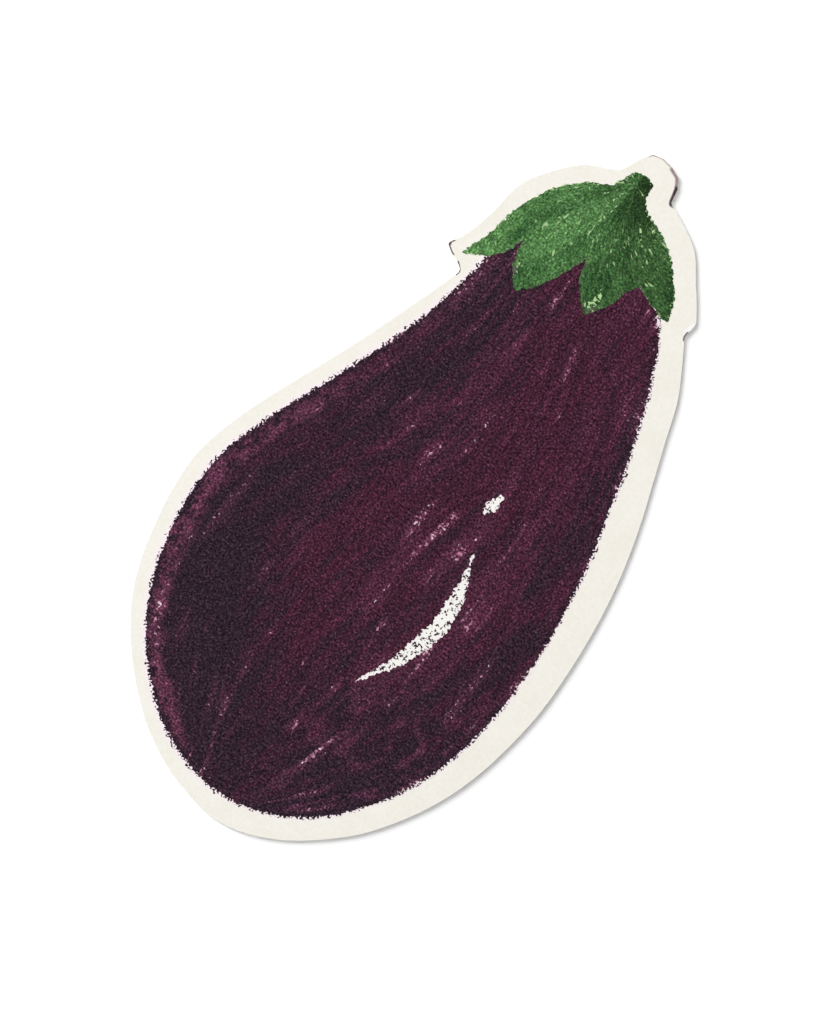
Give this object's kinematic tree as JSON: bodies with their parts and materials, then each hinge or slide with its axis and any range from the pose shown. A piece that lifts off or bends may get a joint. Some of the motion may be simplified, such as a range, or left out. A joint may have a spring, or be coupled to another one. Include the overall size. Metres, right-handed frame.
{
  "type": "die-cut sticker",
  "caption": "Flat die-cut sticker with a crayon-style eggplant printed on a cream ground, on a slit release liner.",
  "frame": {"origin": "under the middle of the cut outline's box, on the plane that the liner rests on", "axes": "+Y from the figure's blossom end to its stem, +Z out of the printed face, +X to the figure's right"},
  "size_m": [0.0412, 0.0762, 0.0004],
  "materials": {
    "liner": "smooth release-coated paper, matte",
    "adhesive": "tacky pressure-sensitive gum",
    "face_sheet": "matte, cream ground on a white core",
    "print_fruit": "matte ink, waxy crayon strokes",
    "print_calyx": "matte ink, waxy crayon strokes"
  },
  "bodies": {
    "root": {"liner_stem_half": "liner", "liner_blossom_half": "liner", "adhesive": "adhesive", "face_sheet": "face_sheet", "print_fruit": "print_fruit", "print_calyx": "print_calyx"}
  },
  "joints": []
}
